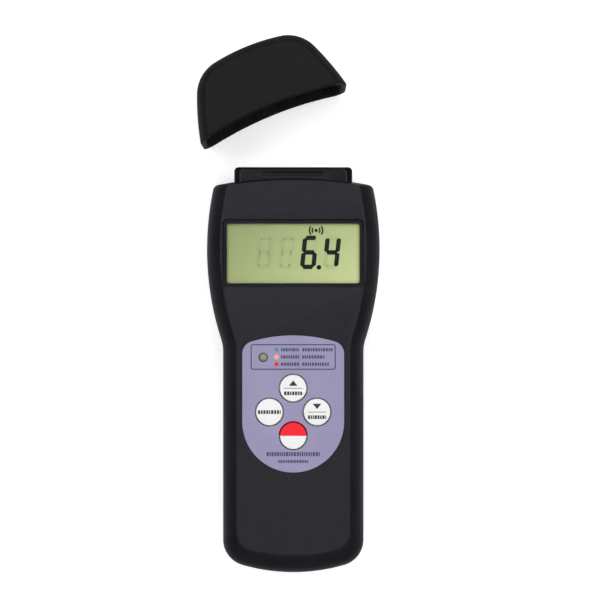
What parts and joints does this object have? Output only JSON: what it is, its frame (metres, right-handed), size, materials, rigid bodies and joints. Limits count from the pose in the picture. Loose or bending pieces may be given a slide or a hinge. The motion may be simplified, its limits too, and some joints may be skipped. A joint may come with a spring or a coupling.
{
  "type": "moisture meter",
  "caption": "Hand-held pinless moisture meter: a waisted black case with a display, a round-key panel, a sensor block at its head and a loose protective cap.",
  "frame": {"origin": "on the flat back, on the centre plane, midway between the case's lower end and its upper corners", "axes": "+X across the case to the right of the display, +Y along the case towards the sensor block, +Z out of the front face"},
  "size_m": [0.0656, 0.1927, 0.026],
  "materials": {
    "case_black": "fine moulded grain",
    "cap_black": "fine moulded grain",
    "sensor_black": "smooth satin",
    "clear_lens": "clear acrylic",
    "lcd_green": "yellow-green reflective display",
    "frame_grey": "satin",
    "zebra_rubber": "soft",
    "board_green": "solder mask over glass fibre",
    "chip_black": "moulded epoxy",
    "capacitor_blue": "printed sleeve",
    "trimmer_blue": "moulded",
    "label_lavender": "printed film, satin",
    "key_white": "satin moulded",
    "key_power": "satin moulded, printed in red and white",
    "plunger_ivory": "moulded",
    "led_diffuse": "frosted epoxy",
    "contact_metal": "nickel plated",
    "steel": "nickel plated",
    "brass": "satin",
    "lead_grey": "tinned wire",
    "lead_red": "vinyl",
    "plate_silver": "satin foil, left blank",
    "cell_sleeve": "printed sleeve, left blank"
  },
  "bodies": {
    "case": {"front_case": "case_black", "rear_case": "case_black", "sensor_block": "sensor_black", "sensor_electrodes": "steel", "sensor_board": "board_green", "sensor_leads": "lead_grey", "display_window": "clear_lens", "lcd_glass": "lcd_green", "lcd_frame": "frame_grey", "zebra_strips": "zebra_rubber", "main_board": "board_green", "processor_chip": "chip_black", "crystal": "steel", "capacitors": "capacitor_blue", "buzzer": "chip_black", "trimmer": "trimmer_blue", "keypad_label": "label_lavender", "indicator_led": "led_diffuse", "switch_bodies": "chip_black", "contact_plates": "contact_metal", "contact_springs": "contact_metal", "battery_leads": "lead_red", "case_screws": "steel", "board_screws": "brass", "rating_plate": "plate_silver", "snap_dome_hold": "contact_metal", "snap_dome_select": "contact_metal", "snap_dome_zero": "contact_metal", "snap_dome_power": "contact_metal", "battery_cell_1": "cell_sleeve", "battery_cell_2": "cell_sleeve", "battery_cell_3": "cell_sleeve", "battery_cell_4": "cell_sleeve"},
    "door": {"battery_door": "case_black"},
    "cap": {"protective_cap": "cap_black"},
    "key_hold": {"key_hold": "key_white", "plunger_hold": "plunger_ivory"},
    "key_select": {"key_select": "key_white", "plunger_select": "plunger_ivory"},
    "key_zero": {"key_zero": "key_white", "plunger_zero": "plunger_ivory"},
    "key_power": {"key_power": "key_power", "plunger_power": "plunger_ivory"}
  },
  "joints": [
    {"name": "cap_off", "type": "hinge", "parent": "case", "child": "cap", "pos_m": [-0.067, 0.06485, 0.0127], "axis": [0, 0, 1], "range_deg": [-22.25, 0]},
    {"name": "battery_door_slide", "type": "slide", "parent": "case", "child": "door", "axis": [0, -1, 0], "range_m": [0, 0.07]},
    {"name": "key_hold_press", "type": "slide", "parent": "case", "child": "key_hold", "axis": [0, 0, -1], "range_m": [0, 0.0005], "stiffness_N_per_m": 2000, "springref_m": -0.0003},
    {"name": "key_select_press", "type": "slide", "parent": "case", "child": "key_select", "axis": [0, 0, -1], "range_m": [0, 0.0005], "stiffness_N_per_m": 2000, "springref_m": -0.0003},
    {"name": "key_zero_press", "type": "slide", "parent": "case", "child": "key_zero", "axis": [0, 0, -1], "range_m": [0, 0.0005], "stiffness_N_per_m": 2000, "springref_m": -0.0003},
    {"name": "key_power_press", "type": "slide", "parent": "case", "child": "key_power", "axis": [0, 0, -1], "range_m": [0, 0.0005], "stiffness_N_per_m": 2000, "springref_m": -0.0003}
  ]
}
